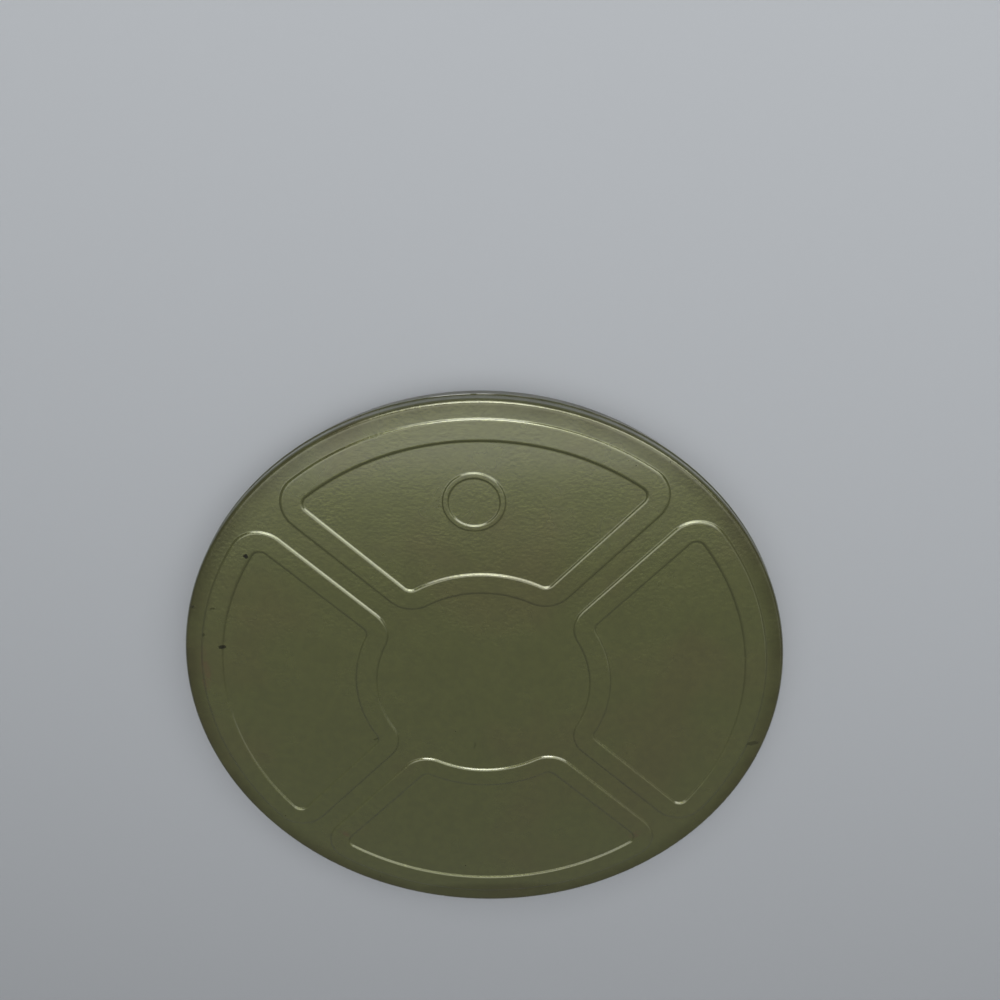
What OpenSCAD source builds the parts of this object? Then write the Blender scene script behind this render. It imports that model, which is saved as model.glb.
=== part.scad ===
// Film reel can: two steel pressings, a base and the lid that slips over it, lying flat.
// Millimetres. Origin at the bottom centre, +Z out through the lid, +Y towards the lid's roundel.

/* [Reel space] */
// Diameter of the reel that the can holds
reel_d = 177.8; // [160:0.1:400]
// Room between the reel's edge and the base's rim
reel_play = 2.75; // [1:0.05:8]
// Depth of the closed can over its plain faces, without the beads
can_depth = 14; // [12:0.5:60]

/* [Sheet] */
// Thickness of the steel sheet
sheet = 0.4; // [0.25:0.05:0.6]

/* [Fit of lid on base] */
// Radial clearance between the lid's hem and the base's wall
slip_gap = 0.25; // [0.1:0.05:1]
// Gap between the lid's underside and the base's rim in the closed can
seat_gap = 0.2; // [0.1:0.05:1]

/* [Lid] */
// Height of the skirt, from the plain face to the hem's edge
skirt_h = 5; // [4:0.5:12]
// Outer radius of the corner between face and skirt
lid_corner_r = 1.5; // [0.8:0.1:3]
// Height of the hem that is folded in at the skirt's edge
lid_hem_h = 2.2; // [1.5:0.1:3]
// How far the folded edge stands out from the skirt
lid_lip = 0.3; // [0:0.05:0.4]

/* [Base] */
// Outer radius of the corner between floor and wall
base_corner_r = 2.4; // [0.8:0.1:4]
// Height of the hem that is folded in at the rim
base_hem_h = 3; // [1.5:0.1:6]

/* [Pressed beads] */
// Width of a bead at half its height
bead_w = 6.4; // [3:0.1:8]
// Height of a bead above the plain face
bead_h = 0.5; // [0.4:0.05:1.2]
// Slope of a bead's flanks, in degrees from the face
bead_slope = 42; // [35:1:65]
// Plain margin between a pressing's edge and its beads
margin_w = 5.5; // [4.5:0.1:9]
// Plain band between neighbouring beads
band_w = 6.5; // [3:0.1:14]
// Radius of the plain disc inside the beads
hub_r = 33.5; // [25:0.1:42]
// Corner radius of the pocket that a bead encloses
pocket_corner_r = 2.8; // [1:0.1:6]

/* [Roundel] */
// Diameter of the ring pressed in the lid's pocket, over its half height
roundel_d = 18; // [10:0.5:22]
// Width of the ring at half its height
roundel_w = 1.6; // [1.2:0.1:2.5]
// Height of the ring above the plain face
roundel_h = 0.35; // [0.2:0.05:0.5]
// Plain margin between the ring and the pocket's outer side
roundel_margin = 9.5; // [4:0.1:14]

/* [Hidden] */
$fa = 3;
$fs = 0.1;
pockets = 4;
// Angle by which the corner sweeps reach into their neighbours
lap = 0.01;
hem_t = 2 * sheet;
base_r = reel_d / 2 + reel_play + hem_t;
lid_r = base_r + slip_gap + hem_t;
lid_face_z = bead_h + can_depth;
base_wall_h = can_depth - sheet - seat_gap;
roundel_y = lid_r - margin_w - bead_w - roundel_margin - roundel_d / 2;
lacquer = [0.40, 0.40, 0.25];

function polar(r, a) = [r * cos(a), r * sin(a), 0];

// Angles of the sweeps are whole thousandths of a degree, so that neighbouring sweeps end on one plane
function whole(a) = round(a * 1000) / 1000;

// Moves by a coarse and a fine step, so that six digits of each are enough
module shift(by) {
    coarse = [for (v = by) round(v * 100) / 100];
    translate(coarse) translate(by - coarse) children();
}

// Solid half section with one rounded corner, its outer face on the X axis
module rounded_half(r, h, corner) {
    square([r - corner, h]);
    translate([0, corner]) square([r, h - corner]);
    translate([r - corner, corner]) circle(corner);
}

// Section of a folded edge, which stands out from the wall by the lip
module fold_section(lip) {
    circle(sheet);
    if (lip > 0) {
        translate([lip, 0]) circle(sheet);
        square([lip, sheet]);
    }
}

// Half section of a pan: floor, corner, wall, and the rim folded in flat on the wall
module pan_profile(r, h, corner, hem_h, lip) {
    wall_h = h - sheet;
    difference() {
        rounded_half(r, wall_h, corner);
        translate([0, sheet]) rounded_half(r - sheet, h, corner - sheet);
    }
    translate([r - hem_t, h - hem_h]) square([sheet, hem_h - sheet]);
    translate([r - sheet, wall_h]) fold_section(lip);
}

// Section of a raised line, from its top at -rise up into the sheet
module raised_section(w, rise) {
    run = rise / tan(bead_slope);
    foot = (w + run) / 2;
    top = (w - run) / 2;
    polygon([[-foot, sheet / 2], [-foot, 0], [-top, -rise], [top, -rise], [foot, 0], [foot, sheet / 2]]);
}

// Section of the groove behind a raised line, one sheet away from it all round
module groove_section(w, rise) {
    run = rise / tan(bead_slope);
    inset = sheet * tan(bead_slope / 2);
    foot = (w + run) / 2 - inset;
    top = (w - run) / 2 - inset;
    polygon([[-foot, 2 * sheet], [-foot, sheet], [-top, sheet - rise], [top, sheet - rise],
             [foot, sheet], [foot, 2 * sheet]]);
}

// Sweeps a section round an arc about the origin
module along_arc(r, from, to) {
    rotate_extrude(angle = to - from, start = from) shift([r, 0]) children();
}

// Sweeps a section along +X
module along_line(length) {
    rotate([90, 0, 90]) linear_extrude(length) children();
}

// Sweeps a section round one pocket between the X and Y axes: two arcs about the can's centre,
// two sides parallel to the axes, and four corners that are tangent to both
module pocket_loop(edge_r) {
    corner = pocket_corner_r + bead_w / 2;
    outer_r = edge_r - margin_w - bead_w / 2;
    outer_a = whole(asin(((band_w + bead_w) / 2 + corner) / (outer_r - corner)));
    outer_c = polar(outer_r - corner, outer_a);
    inner_a = whole(asin(outer_c.y / (hub_r + bead_w / 2 + corner)));
    inner_c = polar(outer_c.y / sin(inner_a), inner_a);
    inner_r = outer_c.y / sin(inner_a) - corner;

    along_arc(outer_r, outer_a, 90 - outer_a) children();
    along_arc(inner_r, inner_a, 90 - inner_a) children();
    for (flip = [0, 1]) mirror([flip, -flip, 0]) {
        shift(outer_c) along_arc(corner, -90 - lap, outer_a + lap) children();
        shift([inner_c.x, outer_c.y - corner, 0]) along_line(outer_c.x - inner_c.x) children();
        shift(inner_c) along_arc(corner, 180 + inner_a - lap, 270 + lap) children();
    }
}

// The loops of a whole pressing, with their sides along the diagonals
module bead_loops(edge_r) {
    for (k = [0 : pockets - 1]) rotate(45 + k * 360 / pockets) pocket_loop(edge_r) children();
}

// A pan with beads pressed out of its floor, outer face at z = 0 and the opening upwards
module pressing(r, h, corner, hem_h, lip = 0) {
    difference() {
        union() {
            rotate_extrude() pan_profile(r, h, corner, hem_h, lip);
            bead_loops(r) raised_section(bead_w, bead_h);
        }
        bead_loops(r) groove_section(bead_w, bead_h);
    }
}

module base() {
    color(lacquer) translate([0, 0, bead_h]) pressing(base_r, base_wall_h, base_corner_r, base_hem_h);
}

module lid() {
    ring_r = (roundel_d - roundel_w) / 2;
    color(lacquer) translate([0, 0, lid_face_z]) mirror([0, 0, 1]) difference() {
        union() {
            pressing(lid_r, skirt_h, lid_corner_r, lid_hem_h, lid_lip);
            translate([0, roundel_y, 0]) along_arc(ring_r, 0, 360) raised_section(roundel_w, roundel_h);
        }
        translate([0, roundel_y, 0]) along_arc(ring_r, 0, 360) groove_section(roundel_w, roundel_h);
    }
}

base();
lid();
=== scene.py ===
# Film reel can: a lid and a base pressed from sheet steel, lacquered olive gold, lying on a pale floor
import math

import bmesh
import bpy
from mathutils import Matrix, Vector


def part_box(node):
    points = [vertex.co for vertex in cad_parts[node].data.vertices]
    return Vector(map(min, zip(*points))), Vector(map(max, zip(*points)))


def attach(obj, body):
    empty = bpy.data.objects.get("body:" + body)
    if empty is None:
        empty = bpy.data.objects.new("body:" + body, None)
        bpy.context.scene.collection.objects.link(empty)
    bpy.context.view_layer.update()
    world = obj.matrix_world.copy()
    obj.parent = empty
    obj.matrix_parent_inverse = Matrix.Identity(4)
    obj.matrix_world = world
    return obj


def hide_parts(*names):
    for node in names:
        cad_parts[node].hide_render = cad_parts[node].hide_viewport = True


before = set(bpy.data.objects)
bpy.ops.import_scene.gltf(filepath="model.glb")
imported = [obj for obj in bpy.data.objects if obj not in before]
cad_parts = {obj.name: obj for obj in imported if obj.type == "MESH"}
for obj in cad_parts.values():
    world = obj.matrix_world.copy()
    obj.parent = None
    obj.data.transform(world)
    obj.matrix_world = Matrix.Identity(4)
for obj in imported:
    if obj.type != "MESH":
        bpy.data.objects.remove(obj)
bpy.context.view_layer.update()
mm = 0.001
print("frame loaded:", ", ".join(sorted(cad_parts)))


def addObject(name, data):
    thing = bpy.data.objects.new(name, data)
    bpy.context.scene.collection.objects.link(thing)
    return thing


# what the two pressings have in common
sheetSteel = {
    "gauge": 0.4 * mm,
    "hemGap": 0.1 * mm,               # slit between a folded edge and its wall
    "land": 0.3 * mm,                 # plain strip kept beside every bend
    "mostOfTop": 0.9,                 # share of a line's top that shoulders and strips may take
    "turn": math.radians(1.5),        # step of the sweeps about the can's centre
    "hubTurn": math.radians(3),       # step of the arcs round the hub
    "cornerTurn": math.radians(6),    # step round a pocket's corners and round the ring
    "weld": 0.002 * mm,               # points closer than this become one
    "smoothAngle": math.radians(40),  # sharper edges aren't shaded smooth
    "wornAngle": math.radians(18),    # between neighbouring faces where the lacquer is rubbed off
}
# faces round each kind of bend
bendSteps = {"foot": 4, "shoulder": 8, "corner": 14, "lip": 4, "fold": 6}
beadLine = {
    "width": 6.4 * mm,                # at half its height
    "rise": 0.5 * mm,
    "slope": math.radians(42),
    "foot": 0.2 * mm,                 # bends at the foot and at the shoulder of a flank
    "shoulder": 0.85 * mm,
    "margin": 5.5 * mm,               # from the pressing's edge
    "band": 6.5 * mm,                 # between neighbouring beads
    "hub": 33.5 * mm,                 # plain disc at the centre
    "corner": 2.8 * mm,               # of the pocket that it encloses
    "pockets": 4,
}
# marks on the edges that bound a plain stretch of the face
zoneField, zonePocket, zoneRing = 1, 2, 3


def edgesOf(geom):
    return [g for g in geom if isinstance(g, bmesh.types.BMEdge)]


def vertsOf(geom):
    return [g for g in geom if isinstance(g, bmesh.types.BMVert)]


def polar(r, angle):
    return Vector((r * math.cos(angle), r * math.sin(angle), 0))


def chain(bm, points, zones, bends):
    # open wire through a few points, then rounded: each bend has its points, tangent length and steps
    zone = bm.verts.layers.int.get("zone") or bm.verts.layers.int.new("zone")
    before = set(bm.edges)
    verts = [bm.verts.new(p) for p in points]
    for pair in zip(verts, verts[1:]):
        bm.edges.new(pair)
    verts[0][zone], verts[-1][zone] = zones
    for which, tangent, steps in bends:
        bmesh.ops.bevel(bm, geom=[verts[k] for k in which], offset=tangent, offset_type="OFFSET",
                        segments=steps, profile=0.5, affect="VERTICES", material=-1)
    return [e for e in bm.edges if e not in before]


def spinOn(bm, edges, centre, angle, step, merge=False):
    verts = list(dict.fromkeys(v for e in edges for v in e.verts))
    swept = bmesh.ops.spin(bm, geom=verts + edges, cent=centre, axis=(0, 0, 1), angle=angle,
                           steps=max(2, round(abs(angle) / step)), use_merge=merge, use_duplicate=False)
    return edgesOf(swept["geom_last"])


def slideOn(bm, edges, offset):
    grown = bmesh.ops.extrude_edge_only(bm, edges=edges)["geom"]
    verts = vertsOf(grown)
    bmesh.ops.translate(bm, verts=verts, vec=offset)
    moved = set(verts)
    return [e for e in edgesOf(grown) if moved.issuperset(e.verts)]


def lineSection(bm, origin, across, line, zones):
    # section of a raised line: strip, foot, flank, shoulder, flat top and down again
    half = line["width"] / 2
    run = line["rise"] / math.tan(line["slope"]) / 2
    foot = line["foot"] * math.tan(line["slope"] / 2)
    shoulder = line["shoulder"] * math.tan(line["slope"] / 2)
    land = sheetSteel["land"]
    top = half - run
    inner = top - min(shoulder + land, top * sheetSteel["mostOfTop"])
    side = [(half + run + foot + land, 0), (half + run, 0), (top, 1), (inner, 1)]
    outline = [(-x, y) for x, y in side] + side[::-1]
    points = [origin + across * x + Vector((0, 0, y * line["rise"])) for x, y in outline]
    bends = [((1, 6), foot, bendSteps["foot"]), ((2, 5), shoulder, bendSteps["shoulder"])]
    return chain(bm, points, zones, bends)


def sweepPocket(bm, edgeR):
    # the closed bead round the pocket at +Y, swept anticlockwise from the right end of its outer arc
    quarter = math.pi / 2
    right = quarter / 2
    left = quarter * 1.5
    corner = beadLine["corner"] + beadLine["width"] / 2
    side = (beadLine["band"] + beadLine["width"]) / 2
    outerR = edgeR - beadLine["margin"] - beadLine["width"] / 2
    innerR = beadLine["hub"] + beadLine["width"] / 2
    outerA = math.asin((side + corner) / (outerR - corner))
    innerA = math.asin((side + corner) / (innerR + corner))
    run = (outerR - corner) * math.cos(outerA) - (innerR + corner) * math.cos(innerA)
    turn, cornerTurn, centre = sheetSteel["turn"], sheetSteel["cornerTurn"], Vector()

    start = right + outerA
    edges = lineSection(bm, polar(outerR, start), polar(1, start), beadLine, (zonePocket, zoneField))
    edges = spinOn(bm, edges, centre, quarter - 2 * outerA, turn)
    edges = spinOn(bm, edges, polar(outerR - corner, left - outerA), quarter + outerA, cornerTurn)
    edges = slideOn(bm, edges, polar(-run, left))
    edges = spinOn(bm, edges, polar(innerR + corner, left - innerA), quarter - innerA, cornerTurn)
    edges = spinOn(bm, edges, centre, 2 * innerA - quarter, sheetSteel["hubTurn"])
    edges = spinOn(bm, edges, polar(innerR + corner, right + innerA), quarter - innerA, cornerTurn)
    edges = slideOn(bm, edges, polar(run, right))
    spinOn(bm, edges, polar(outerR - corner, right + outerA), quarter + outerA, cornerTurn)


def sweepRim(bm, edgeR, pan):
    # corner, wall and the edge folded in, all the way round
    fold = 2 * sheetSteel["gauge"] + sheetSteel["hemGap"]
    low = -pan["wall"]
    lip = pan["lip"]
    outline = [(edgeR - pan["corner"] - sheetSteel["land"], 0), (edgeR, 0)]
    bends = [((1,), pan["corner"], bendSteps["corner"])]
    if lip:   # the folded edge stands out, under a ledge that slopes by its width
        ledge = low + 2 * sheetSteel["gauge"]
        outline += [(edgeR, ledge + lip), (edgeR + lip, ledge)]
        bends.append(((2, 3), lip * pan["lipRound"], bendSteps["lip"]))
    turned = len(outline)
    bends.append(((turned, turned + 1), fold * pan["foldRound"], bendSteps["fold"]))
    outline += [(edgeR + lip, low), (edgeR + lip - fold, low), (edgeR - fold, low + 2 * fold),
                (edgeR - fold, low + pan["hem"])]
    points = [Vector((r, 0, z)) for r, z in outline]
    edges = chain(bm, points, (zoneField, 0), bends)
    spinOn(bm, edges, Vector(), 2 * math.pi, sheetSteel["turn"], merge=True)


def sweepRing(bm, ring):
    centre = Vector((0, ring["y"], 0))
    across = Vector((1, 0, 0))
    edges = lineSection(bm, centre + across * ring["radius"], across, ring, (zoneRing, zonePocket))
    spinOn(bm, edges, centre, 2 * math.pi, sheetSteel["cornerTurn"], merge=True)


def fillZone(bm, mark):
    zone = bm.verts.layers.int["zone"]
    rims = [e for e in bm.edges if e.is_boundary and all(v[zone] == mark for v in e.verts)]
    if rims:
        bmesh.ops.triangle_fill(bm, edges=rims, use_beauty=True, use_dissolve=False, normal=(0, 0, 1))


def markBends(bm):
    # how sharply each point stands out, or lies in a crease: 0 on plain sheet, 1 on a folded edge
    wear = bm.verts.layers.float.new("wear")
    crease = bm.verts.layers.float.new("crease")
    for vert in bm.verts:
        angles = [e.calc_face_angle_signed(0) / sheetSteel["wornAngle"] for e in vert.link_edges]
        vert[wear] = min(1, max(0, max(angles)))
        vert[crease] = min(1, max(0, -min(angles)))


def pressSheet(name, edgeR, pan, place, ring=None):
    # built face up with the plain face at z = 0, given its thickness and then put in its place
    bm = bmesh.new()
    sweepPocket(bm, edgeR)
    first = bm.verts[:] + bm.edges[:] + bm.faces[:]
    for k in range(1, beadLine["pockets"]):
        copy = bmesh.ops.duplicate(bm, geom=first)["geom"]
        around = Matrix.Rotation(k * 2 * math.pi / beadLine["pockets"], 3, "Z")
        bmesh.ops.rotate(bm, verts=vertsOf(copy), matrix=around)
    sweepRim(bm, edgeR, pan)
    if ring:
        sweepRing(bm, ring)
    bmesh.ops.remove_doubles(bm, verts=bm.verts, dist=sheetSteel["weld"])
    for mark in (zoneField, zonePocket, zoneRing):
        fillZone(bm, mark)
    bmesh.ops.recalc_face_normals(bm, faces=bm.faces)
    bm.normal_update()
    if max(bm.faces, key=lambda f: f.calc_center_median().z).normal.z < 0:   # the face has to look up
        bmesh.ops.reverse_faces(bm, faces=bm.faces)
    markBends(bm)
    outer = set(bm.verts)
    bmesh.ops.solidify(bm, geom=bm.faces[:], thickness=sheetSteel["gauge"])
    for face in bm.faces:
        face.smooth = True
        face.material_index = 0 if any(v in outer for v in face.verts) else 1
    for edge in bm.edges:
        edge.smooth = edge.calc_face_angle(0) < sheetSteel["smoothAngle"]
    bmesh.ops.transform(bm, matrix=place, verts=bm.verts)
    mesh = bpy.data.meshes.new(name)
    bm.to_mesh(mesh)
    bm.free()
    print(name, "pressed:", len(mesh.polygons), "faces")
    return addObject(name, mesh)


# lid
lidPan = {
    "corner": 1.5 * mm,
    "hem": 2.2 * mm,
    "lip": 0.3 * mm,      # by which the folded edge stands out
    "lipRound": 0.45,     # bends, as a share of the lip and of the fold
    "foldRound": 0.44,
}
lidRing = {
    "width": 1.6 * mm,
    "rise": 0.35 * mm,
    "slope": beadLine["slope"],
    "foot": 0.2 * mm,
    "shoulder": 0.3 * mm,
    "radius": 8.2 * mm,
    "y": 63.1 * mm,
}
lidLow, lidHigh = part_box("lid")
lidFaceZ = lidHigh.z - beadLine["rise"]
lidPan["wall"] = lidFaceZ - lidLow.z
lidPlace = Matrix.Translation((0, 0, lidFaceZ))
lid = pressSheet("lidShell", lidHigh.x - lidPan["lip"], lidPan, lidPlace, lidRing)

# base, the same pressing turned over
basePan = {"corner": 2.4 * mm, "hem": 3.0 * mm, "lip": 0, "foldRound": 0.49}
baseLow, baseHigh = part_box("base")
baseFaceZ = baseLow.z + beadLine["rise"]
basePan["wall"] = baseHigh.z - baseFaceZ
basePlace = Matrix.Translation((0, 0, baseFaceZ)) @ Matrix.Rotation(math.pi, 4, "X")
base = pressSheet("baseShell", baseHigh.x, basePan, basePlace)

for piece, node in ((lid, "lid"), (base, "base")):
    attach(piece, node)
    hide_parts(node)


def wire(tree, kind, inputs=None, **settings):
    # adds a node, with its settings and with numbers or links on its inputs
    node = tree.nodes.new("ShaderNode" + kind)
    for key, value in settings.items():
        setattr(node, key, value)
    for key, value in (inputs or {}).items():
        if isinstance(value, bpy.types.NodeSocket):
            tree.links.new(value, node.inputs[key])
        else:
            node.inputs[key].default_value = value
    return node


def math2(tree, operation, a, b, clamp=False):
    return wire(tree, "Math", {0: a, 1: b}, operation=operation, use_clamp=clamp).outputs[0]


def times(tree, a, b):
    return math2(tree, "MULTIPLY", a, b)


def larger(tree, a, b):
    return math2(tree, "MAXIMUM", a, b)


def blendColour(tree, share, a, b):
    return wire(tree, "Mix", {0: share, 6: a, 7: b}, data_type="RGBA").outputs[2]


def lengthOf(tree, vector):
    return wire(tree, "VectorMath", {0: vector}, operation="LENGTH").outputs["Value"]


def ramp(tree, value, limits, levels=(0.0, 1.0)):
    # soft step between two limits of the value, put out as two levels
    inputs = {"Value": value, "From Min": limits[0], "From Max": limits[1],
              "To Min": levels[0], "To Max": levels[1]}
    return wire(tree, "MapRange", inputs, interpolation_type="SMOOTHSTEP").outputs["Result"]


def placeOn(tree):
    return wire(tree, "TexCoord").outputs["Object"]


def attributeAt(tree, name):
    return wire(tree, "Attribute", attribute_name=name, attribute_type="GEOMETRY").outputs["Fac"]


def noiseAt(tree, cell, detail=2.0, roughness=0.5):
    # noise whose lumps are about one cell across, the cell in mm
    perMetre = 1 / mm
    linked = isinstance(cell, bpy.types.NodeSocket)
    scale = math2(tree, "DIVIDE", perMetre, cell) if linked else perMetre / cell
    inputs = {"Vector": placeOn(tree), "Scale": scale, "Detail": detail, "Roughness": roughness}
    return wire(tree, "TexNoise", inputs).outputs


def patchesAt(tree, cell, limits, levels=(0.0, 1.0), detail=2.0, roughness=0.5):
    return ramp(tree, noiseAt(tree, cell, detail, roughness)["Fac"], limits, levels)


def newGroup(name, inputs, outputs):
    group = bpy.data.node_groups.new(name, "ShaderNodeTree")
    for label, kind, value in inputs:
        socket = group.interface.new_socket(label, in_out="INPUT", socket_type="NodeSocket" + kind)
        socket.default_value = value
    for label, kind in outputs:
        group.interface.new_socket(label, in_out="OUTPUT", socket_type="NodeSocket" + kind)
    return group, group.nodes.new("NodeGroupInput").outputs, group.nodes.new("NodeGroupOutput").inputs


# effects of the lacquer: cells of the noise in mm, limits in the noise and the levels that they become
peelLook = {
    "detail": 3.0,
    "roughness": 0.55,
    "patches": {"cell": 14.0, "limits": (0.35, 0.65), "levels": (0.6, 1.2)},
}


def makePeelGrain():
    # the pebbled skin of sprayed lacquer, weaker in patches
    tree, given, result = newGroup("peelGrain", [("Cell", "Float", 0.8)], [("Height", "Float")])
    noise = noiseAt(tree, given["Cell"], peelLook["detail"], peelLook["roughness"])["Fac"]
    lumps = math2(tree, "SUBTRACT", noise, 0.5)
    patches = patchesAt(tree, **peelLook["patches"])
    tree.links.new(times(tree, lumps, patches), result["Height"])
    return tree


driftLook = {
    "clouds": {"cell": 38.0, "detail": 3.0, "limits": (0.48, 0.72)},
    "mottle": {"cell": 2.2, "limits": (0.25, 0.75), "levels": (0.93, 1.07)},
}


def makeToneDrift():
    # browner clouds and a fine mottle
    inputs = [("Colour", "Color", (0.1, 0.1, 0.05, 1)), ("Brown", "Color", (0.1, 0.08, 0.05, 1)),
              ("Amount", "Float", 0.5)]
    tree, given, result = newGroup("toneDrift", inputs, [("Colour", "Color")])
    share = times(tree, patchesAt(tree, **driftLook["clouds"]), given["Amount"])
    warm = blendColour(tree, share, given["Colour"], given["Brown"])
    mottle = patchesAt(tree, **driftLook["mottle"])
    toned = wire(tree, "VectorMath", {0: warm, "Scale": mottle}, operation="SCALE").outputs[0]
    tree.links.new(toned, result["Colour"])
    return tree


rubLook = {
    "patches": {"cell": 9.0, "detail": 4.0, "roughness": 0.65, "limits": (0.46, 0.66)},
    "flakes": {"cell": 2.5, "detail": 3.0, "limits": (0.4, 0.5)},
    "thinBends": (0.2, 0.6),          # limits in the wear attribute
    "bareBends": (0.4, 0.6),
}


def makeEdgeRub():
    # worn lacquer: thin on the bends, gone on stretches of the folded edges
    inputs = [("Amount", "Float", 0.8), ("Scuffs", "Float", 0.0)]
    tree, given, result = newGroup("edgeRub", inputs, [("Thin", "Float"), ("Bare", "Float")])
    wear = attributeAt(tree, "wear")
    worn = times(tree, patchesAt(tree, **rubLook["patches"]), given["Amount"])
    thin = times(tree, ramp(tree, wear, rubLook["thinBends"]), worn)
    chipped = times(tree, given["Scuffs"], patchesAt(tree, **rubLook["flakes"]))
    bare = times(tree, ramp(tree, wear, rubLook["bareBends"]), larger(tree, worn, chipped))
    tree.links.new(thin, result["Thin"])
    tree.links.new(bare, result["Bare"])
    return tree


grimeAndShadeLook = {
    "clouds": {"cell": 12.0, "detail": 4.0, "roughness": 0.6, "limits": (0.3, 0.65), "levels": (0.65, 1.0)},
    "breaks": {"cell": 9.0, "detail": 4.0, "roughness": 0.6, "limits": (0.4, 0.65), "levels": (0.0, 0.15)},
    "creases": (0.1, 0.6),            # limits in the crease attribute
    "dirtAndShadeReach": (86 * mm, 93 * mm),  # from the can's axis: where the film sets in
    "lineReach": (90 * mm, 89 * mm),  # and where the lines end
}


def makeGrimeAndShade():
    # partly handling dirt, partly painted shade: a film towards the rim and down the walls, and a broken
    # line in the creases
    tree, given, result = newGroup("grimeAndShade", [("Amount", "Float", 0.3)], [("Mask", "Float")])
    flat = wire(tree, "VectorMath", {0: placeOn(tree), 1: (1, 1, 0)}, operation="MULTIPLY").outputs[0]
    reach = lengthOf(tree, flat)
    dirtAndShade = times(tree, ramp(tree, reach, grimeAndShadeLook["dirtAndShadeReach"]), patchesAt(tree, **grimeAndShadeLook["clouds"]))
    crease = ramp(tree, attributeAt(tree, "crease"), grimeAndShadeLook["creases"])
    creaseDirtAndShade = times(tree, crease, patchesAt(tree, **grimeAndShadeLook["breaks"]))
    creaseDirtAndShade = times(tree, creaseDirtAndShade, ramp(tree, reach, grimeAndShadeLook["lineReach"]))
    tree.links.new(times(tree, larger(tree, dirtAndShade, creaseDirtAndShade), given["Amount"]), result["Mask"])
    return tree


speckLook = {
    "spacing": 5.0,                   # mm
    "sizes": (0.02, 0.06),            # share of the spacing
    "strengths": (0.25, 0.8),
}


def makeSpecks():
    # dust pits and tiny dark chips, in a share of the cells
    tree, given, result = newGroup("specks", [("Share", "Float", 0.5)], [("Mask", "Float")])
    scale = 1 / mm / speckLook["spacing"]
    cells = wire(tree, "TexVoronoi", {"Vector": placeOn(tree), "Scale": scale}).outputs
    pick = wire(tree, "SeparateColor", {0: cells["Color"]}).outputs
    chosen = math2(tree, "LESS_THAN", pick["Red"], given["Share"])
    size = ramp(tree, pick["Green"], (0.0, 1.0), speckLook["sizes"])
    within = math2(tree, "LESS_THAN", cells["Distance"], size)
    faint = times(tree, within, ramp(tree, pick["Blue"], (0.0, 1.0), speckLook["strengths"]))
    tree.links.new(times(tree, chosen, faint), result["Mask"])
    return tree


groups = {
    "peel": makePeelGrain(),
    "drift": makeToneDrift(),
    "rub": makeEdgeRub(),
    "grimeAndShade": makeGrimeAndShade(),
    "specks": makeSpecks(),
}
print("node groups:", ", ".join(g.name for g in groups.values()))


def addGroup(tree, name, inputs):
    return wire(tree, "Group", inputs, node_tree=groups[name]).outputs


# single marks on the lid: middle, half length and half width in mm, turn in degrees, strength
lidMarks = [   # dark chips and stains
    {"x": -67.8, "y": 47.8, "long": 0.75, "wide": 0.7, "turn": 0, "depth": 1.0},
    {"x": -80.1, "y": 16.4, "long": 1.1, "wide": 0.7, "turn": -12, "depth": 0.9},
    {"x": -86.8, "y": 30.8, "long": 0.7, "wide": 0.4, "turn": 60, "depth": 0.7},
    {"x": -80.7, "y": 30.3, "long": 0.9, "wide": 0.35, "turn": 10, "depth": 0.5},
    {"x": -85.1, "y": 21.1, "long": 0.6, "wide": 0.5, "turn": 40, "depth": 0.5},
    {"x": -35.7, "y": -20.2, "long": 0.9, "wide": 0.3, "turn": 30, "depth": 0.4},
    {"x": 86.2, "y": -24.6, "long": 2.2, "wide": 0.7, "turn": 12, "depth": 0.5},
    {"x": -3.7, "y": -23.7, "long": 1.2, "wide": 0.3, "turn": 80, "depth": 0.3},
]
lidScuffs = [   # where the lip is worn to the metal
    {"x": -2.0, "y": 93.4, "long": 8.5, "wide": 1.5, "turn": 0, "depth": 1.0},
]
lidRust = [   # where rust shows through
    {"x": 49.5, "y": -62.5, "long": 2.6, "wide": 1.2, "turn": 40, "depth": 0.6},
    {"x": -86.8, "y": 8.0, "long": 8.0, "wide": 1.6, "turn": 84, "depth": 0.5},
    {"x": -50.2, "y": -59.9, "long": 2.4, "wide": 1.0, "turn": -40, "depth": 0.5},
]
lidLowRimShade = [   # painted shade along the lower rim, which is darker
    {"x": 2.0, "y": -90.5, "long": 42, "wide": 6.0, "turn": 0, "depth": 0.36},
]
markEdge = {
    "cell": 0.8,                      # mm, of the noise that makes the edge ragged
    "shake": 0.8 * mm,
    "fade": (1.25, 0.75),             # from outside to full strength, 1 on the oval itself
}


def addMarks(tree, marks):
    # each mark is an oval with a ragged edge
    ragged = noiseAt(tree, markEdge["cell"])["Color"]
    jitter = wire(tree, "VectorMath", {0: ragged, 1: (0.5, 0.5, 0.5)}, operation="SUBTRACT").outputs[0]
    shake = (markEdge["shake"], markEdge["shake"], 0)
    shaken = wire(tree, "VectorMath", {0: jitter, 1: shake, 2: placeOn(tree)}, operation="MULTIPLY_ADD")
    total = 0.0
    for mark in marks:
        oval = {"Vector": shaken.outputs[0],
                "Location": (mark["x"] * mm, mark["y"] * mm, 0),
                "Rotation": (0, 0, math.radians(mark["turn"])),
                "Scale": (mark["long"] * mm, mark["wide"] * mm, 1)}
        reach = lengthOf(tree, wire(tree, "Mapping", oval, vector_type="TEXTURE").outputs[0])
        total = larger(tree, total, ramp(tree, reach, markEdge["fade"], (0.0, mark["depth"])))
    return total


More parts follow.
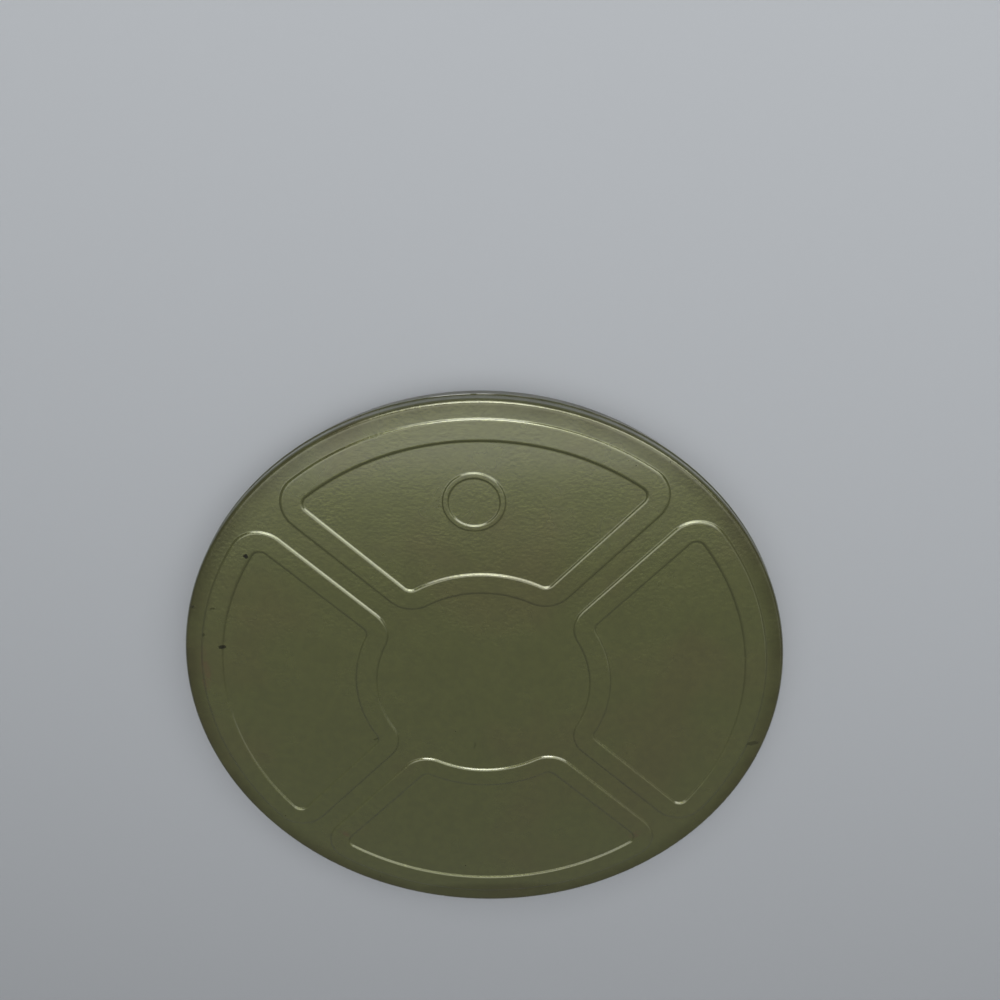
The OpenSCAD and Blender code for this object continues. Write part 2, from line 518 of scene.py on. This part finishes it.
# lacquer, one finish with its own values on the lid, on the base and inside
finishes = {
    "lidLacquer": {
        "colour": (0.085, 0.092, 0.021, 1),
        "brown": (0.092, 0.073, 0.022, 1),
        "bare": (0.80, 0.79, 0.75, 1),
        "metallic": 0.55, "roughness": 0.25, "peelCell": 1.1, "peelDepth": 0.12 * mm,
        "drift": 0.35, "rub": 0.2, "speckShare": 0.15, "grimeAndShade": 0.52,
    },
    "baseLacquerWithShade": {
        # colours darker than the lid's: painted shade over the base
        "colour": (0.070, 0.073, 0.026, 1),
        "brown": (0.070, 0.056, 0.025, 1),
        "bare": (0.42, 0.41, 0.36, 1),
        "metallic": 0.45, "roughness": 0.30, "peelCell": 1.0, "peelDepth": 0.045 * mm,
        "drift": 0.4, "rub": 0.4, "speckShare": 0.3, "grimeAndShade": 0.55,
    },
    "insideLacquer": {
        "colour": (0.092, 0.096, 0.030, 1),
        "brown": (0.098, 0.076, 0.030, 1),
        "bare": (0.42, 0.41, 0.36, 1),
        "metallic": 0.55, "roughness": 0.26, "peelCell": 1.0, "peelDepth": 0.035 * mm,
        "drift": 0.2, "rub": 0.3, "speckShare": 0.1, "grimeAndShade": 0.15,
    },
}
# the same on all three
lacquerLook = {
    "coatIor": 1.75,
    "coatRoughness": 0.14,
    "dirtRoughness": 0.7,
    "sheen": {"cell": 16.0, "detail": 4.0, "limits": (0.3, 0.7), "levels": (-0.03, 0.03)},
    "rust": {"cell": 3.0, "detail": 4.0, "roughness": 0.65, "limits": (0.4, 0.6)},
    "stainColour": (0.008, 0.008, 0.004, 1),
    "rustColour": (0.105, 0.060, 0.022, 1),
    "grimeAndShadeColour": (0.030, 0.025, 0.012, 1),
}


def lacquer(name, marks=(), scuffs=(), rust=(), lowRimShade=()):
    look = finishes[name]
    material = bpy.data.materials.new(name)
    material.use_nodes = True
    tree = material.node_tree
    shader = tree.nodes["Principled BSDF"]
    shader.inputs["Metallic"].default_value = look["metallic"]
    shader.inputs["Coat IOR"].default_value = lacquerLook["coatIor"]
    shader.inputs["Coat Roughness"].default_value = lacquerLook["coatRoughness"]

    tones = {"Colour": look["colour"], "Brown": look["brown"], "Amount": look["drift"]}
    colour = addGroup(tree, "drift", tones)["Colour"]
    scuffed = addMarks(tree, scuffs) if scuffs else 0.0
    rub = addGroup(tree, "rub", {"Amount": look["rub"], "Scuffs": scuffed})
    dirtAndShade = addGroup(tree, "grimeAndShade", {"Amount": look["grimeAndShade"]})["Mask"]
    # painted shade along the lid's lower rim joins the dark film
    if lowRimShade:
        dirtAndShade = larger(tree, dirtAndShade, addMarks(tree, lowRimShade))
    dirt = addGroup(tree, "specks", {"Share": look["speckShare"]})["Mask"]
    if marks:
        dirt = larger(tree, dirt, addMarks(tree, marks))
    colour = blendColour(tree, rub["Thin"], colour, look["brown"])
    # dirt and painted shade darken the colour towards the rim, down the walls, in the creases and along the
    # lid's lower rim
    colour = blendColour(tree, dirtAndShade, colour, lacquerLook["grimeAndShadeColour"])
    if rust:
        rusty = times(tree, addMarks(tree, rust), patchesAt(tree, **lacquerLook["rust"]))
        colour = blendColour(tree, rusty, colour, lacquerLook["rustColour"])
    colour = blendColour(tree, rub["Bare"], colour, look["bare"])
    colour = blendColour(tree, dirt, colour, lacquerLook["stainColour"])
    rough = math2(tree, "ADD", patchesAt(tree, **lacquerLook["sheen"]), look["roughness"])
    rough = larger(tree, rough, times(tree, dirt, lacquerLook["dirtRoughness"]))
    clean = math2(tree, "SUBTRACT", 1.0, larger(tree, dirtAndShade, dirt), clamp=True)
    height = addGroup(tree, "peel", {"Cell": look["peelCell"]})["Height"]
    bump = wire(tree, "Bump", {"Height": height, "Distance": look["peelDepth"], "Strength": 1.0})

    tree.links.new(colour, shader.inputs["Base Color"])
    tree.links.new(rough, shader.inputs["Roughness"])
    tree.links.new(clean, shader.inputs["Coat Weight"])
    tree.links.new(bump.outputs["Normal"], shader.inputs["Normal"])
    return material


inside = lacquer("insideLacquer")
lidOutside = lacquer("lidLacquer", lidMarks, lidScuffs, lidRust, lidLowRimShade)
baseOutside = lacquer("baseLacquerWithShade")
for piece, outside in ((lid, lidOutside), (base, baseOutside)):
    piece.data.materials.append(outside)
    piece.data.materials.append(inside)
print("lacquered:", lid.name, base.name)


# studio
studio = {
    "floorSize": 6.0,
    "floorDrop": 0.02 * mm,           # keeps the floor clear of the faces that lie on it
    "floorTone": (0.30, 0.314, 0.330, 1),
    "floorRoughness": 0.9,
    "worldTone": (0.96, 0.975, 1.0, 1),
    "worldHeights": (0.15, 0.7),      # from low over the horizon to nearly overhead
    "worldLevels": (0.165, 0.245),
}
# flat lamps that look straight down, 0.8 m over the floor
lamps = {
    "window": {"place": (0.241, 0.921, 0.815), "turn": -18, "size": (2.09, 0.76), "power": 17.5},
    "core": {"place": (0, 0.70, 0.81), "turn": 0, "size": (0.50, 0.30), "power": 4.0},
    "ceiling": {"place": (0.015, 0.125, 0.815), "turn": 0, "size": (1.29, 0.45), "power": 2.7},
    "strip": {"place": (0, -0.175, 0.815), "turn": 0, "size": (1.0, 0.15), "power": 0.40},
    "glow": {"place": (0, -0.23, 0.81), "turn": 0, "size": (1.0, 0.26), "power": 0.10},
    "far": {"place": (0.03, 1.55, 0.815), "turn": 0, "size": (0.7, 0.35), "power": 5.2},
    "side": {"place": (1.0, -0.325, 0.815), "turn": 0, "size": (0.5, 0.75), "power": 0.48},
}


def layFloor():
    bm = bmesh.new()
    bmesh.ops.create_grid(bm, x_segments=1, y_segments=1, size=studio["floorSize"] / 2)
    bmesh.ops.translate(bm, verts=bm.verts, vec=(0, 0, -studio["floorDrop"]))
    mesh = bpy.data.meshes.new("floor")
    bm.to_mesh(mesh)
    bm.free()
    floor = addObject("floor", mesh)
    paint = bpy.data.materials.new("floorPaint")
    paint.use_nodes = True
    shader = paint.node_tree.nodes["Principled BSDF"]
    shader.inputs["Base Color"].default_value = studio["floorTone"]
    shader.inputs["Roughness"].default_value = studio["floorRoughness"]
    mesh.materials.append(paint)


def lightWorld():
    world = bpy.data.worlds.new("studioWorld")
    world.use_nodes = True
    tree = world.node_tree
    sky = tree.nodes["Background"]
    sky.inputs["Color"].default_value = studio["worldTone"]
    towards = wire(tree, "SeparateXYZ", {0: wire(tree, "TexCoord").outputs["Generated"]}).outputs["Z"]
    level = ramp(tree, towards, studio["worldHeights"], studio["worldLevels"])
    tree.links.new(level, sky.inputs["Strength"])
    bpy.context.scene.world = world


def hangLamps():
    for name, lamp in lamps.items():
        data = bpy.data.lights.new(name, "AREA")
        data.shape = "RECTANGLE"
        data.size, data.size_y = lamp["size"]
        data.energy = lamp["power"]
        light = addObject(name, data)
        light.location = lamp["place"]
        light.rotation_euler = (0, 0, math.radians(lamp["turn"]))


# camera beyond the roundel's side of the lid, looking down on its face
viewpoint = {
    "lens": 30.4,
    "sensor": 36.0,
    "near": 10 * mm,
    "eye": Vector((13.8, 160.1, 219.5)) * mm,   # eye and aim are from the middle of the lid's face
    "aim": Vector((7.4, 63.6, 0)) * mm,
    "roll": math.radians(-2.1),
}


def placeCamera(faceZ):
    data = bpy.data.cameras.new("photoView")
    data.lens = viewpoint["lens"]
    data.sensor_width = viewpoint["sensor"]
    data.clip_start = viewpoint["near"]
    camera = addObject("photoView", data)
    forward = (viewpoint["aim"] - viewpoint["eye"]).normalized()
    right = forward.cross(Vector((0, 1, 0))).normalized()
    level = Matrix((right, right.cross(forward), -forward)).transposed().to_4x4()
    place = Matrix.Translation(viewpoint["eye"] + Vector((0, 0, faceZ)))
    camera.matrix_world = place @ level @ Matrix.Rotation(viewpoint["roll"], 4, "Z")
    bpy.context.scene.camera = camera


layFloor()
lightWorld()
hangLamps()
placeCamera(lidFaceZ)
bpy.context.scene.view_settings.view_transform = "Standard"
print("studio ready:", len(lamps), "lamps")
